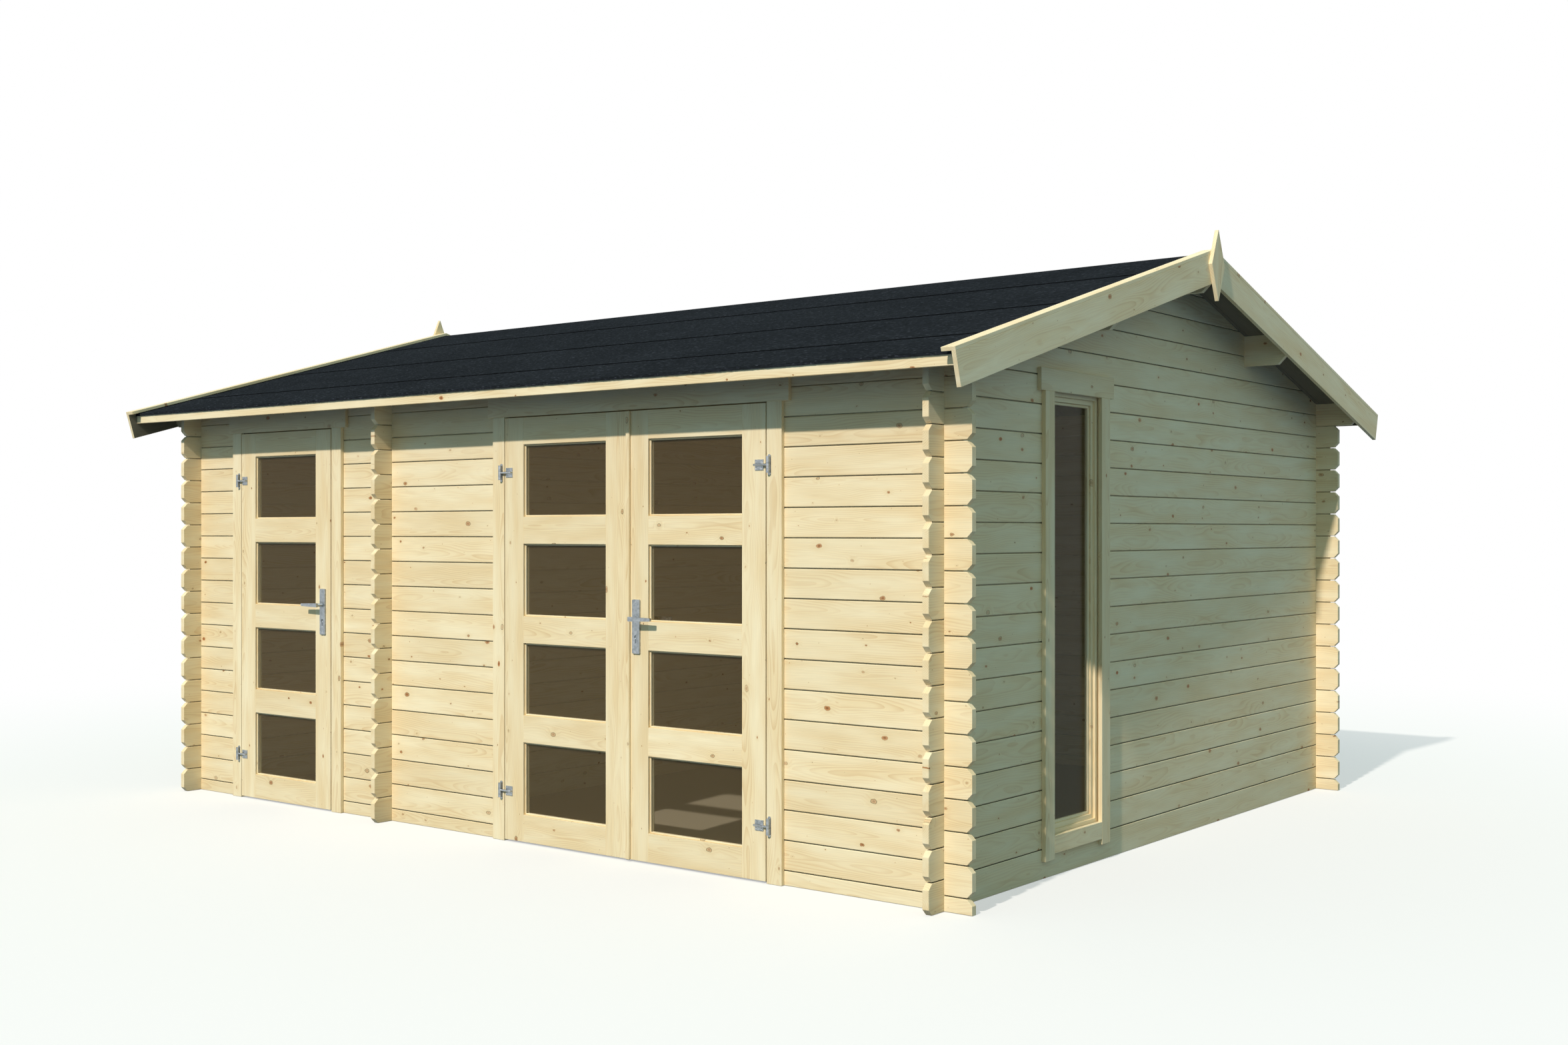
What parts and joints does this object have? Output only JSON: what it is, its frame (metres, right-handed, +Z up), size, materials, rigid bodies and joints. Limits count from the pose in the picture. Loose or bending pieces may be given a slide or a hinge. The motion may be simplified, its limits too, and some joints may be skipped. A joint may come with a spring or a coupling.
{
  "type": "garden shed",
  "caption": "Log cabin garden shed with a low felt gable roof, interlocking log corners, glazed single and double doors, a tall gable window and a partition.",
  "frame": {"origin": "centre of the roof's plan, on the level floor that the lowest logs stand on", "axes": "+X along the ridge towards the gable wall with the window, +Y from the door side to the back, +Z up"},
  "size_m": [5.301, 4.373, 2.7608],
  "materials": {
    "log_spruce": "planed, untreated",
    "planed_spruce": "planed, untreated",
    "roofing_felt": "fine mineral grit",
    "glass": "clear",
    "galvanised_steel": "zinc plated"
  },
  "bodies": {
    "shell": {"back_eave_log": "log_spruce", "back_wall": "log_spruce", "barge_boards": "planed_spruce", "barge_caps": "planed_spruce", "door_head_trims": "planed_spruce", "door_hinge_pins": "galvanised_steel", "door_side_trims": "planed_spruce", "double_door_frame": "planed_spruce", "eaves_fascias": "planed_spruce", "finials": "planed_spruce", "front_eave_log": "log_spruce", "front_lintels": "log_spruce", "front_wall_left": "log_spruce", "front_wall_middle": "log_spruce", "front_wall_right": "log_spruce", "gable_wall_left": "log_spruce", "gable_wall_right": "log_spruce", "mid_purlins": "log_spruce", "partition_wall": "log_spruce", "ridge_purlin": "log_spruce", "roof_boards_back": "log_spruce", "roof_boards_front": "log_spruce", "roof_felt_back": "roofing_felt", "roof_felt_front": "roofing_felt", "roof_felt_ridge": "roofing_felt", "single_door_frame": "planed_spruce", "window_cross_trims": "planed_spruce", "window_frame": "planed_spruce", "window_glass": "glass", "window_sash": "planed_spruce", "window_side_trims": "planed_spruce"},
    "single_door": {"single_door_glass": "glass", "single_door_handle_plates": "galvanised_steel", "single_door_hinge_straps": "galvanised_steel", "single_door_leaf": "planed_spruce"},
    "double_door_left": {"double_door_left_glass": "glass", "double_door_left_hinge_straps": "galvanised_steel", "double_door_left_leaf": "planed_spruce"},
    "double_door_right": {"double_door_astragal": "planed_spruce", "double_door_right_glass": "glass", "double_door_right_handle_plates": "galvanised_steel", "double_door_right_hinge_straps": "galvanised_steel", "double_door_right_leaf": "planed_spruce"},
    "single_door_lever": {"single_door_lever": "galvanised_steel"},
    "double_door_right_lever": {"double_door_right_lever": "galvanised_steel"}
  },
  "joints": [
    {"name": "single_door_hinge", "type": "hinge", "parent": "shell", "child": "single_door", "pos_m": [-1.9935, -1.9245, 0.9635], "axis": [0, 0, -1], "range_deg": [0, 115]},
    {"name": "double_door_left_hinge", "type": "hinge", "parent": "shell", "child": "double_door_left", "pos_m": [0.036, -1.9245, 0.9635], "axis": [0, 0, -1], "range_deg": [0, 115]},
    {"name": "double_door_right_hinge", "type": "hinge", "parent": "shell", "child": "double_door_right", "pos_m": [1.5935, -1.9245, 0.9635], "axis": [0, 0, 1], "range_deg": [0, 115]},
    {"name": "single_door_lever_turn", "type": "hinge", "parent": "single_door", "child": "single_door_lever", "pos_m": [-1.2745, -1.8935, 1.035], "axis": [0, -1, 0], "range_deg": [0, 40], "stiffness_Nm_per_rad": 1.5, "springref_deg": -28.65},
    {"name": "double_door_right_lever_turn", "type": "hinge", "parent": "double_door_right", "child": "double_door_right_lever", "pos_m": [0.8745, -1.8935, 1.035], "axis": [0, 1, 0], "range_deg": [0, 40], "stiffness_Nm_per_rad": 1.5, "springref_deg": -28.65}
  ]
}
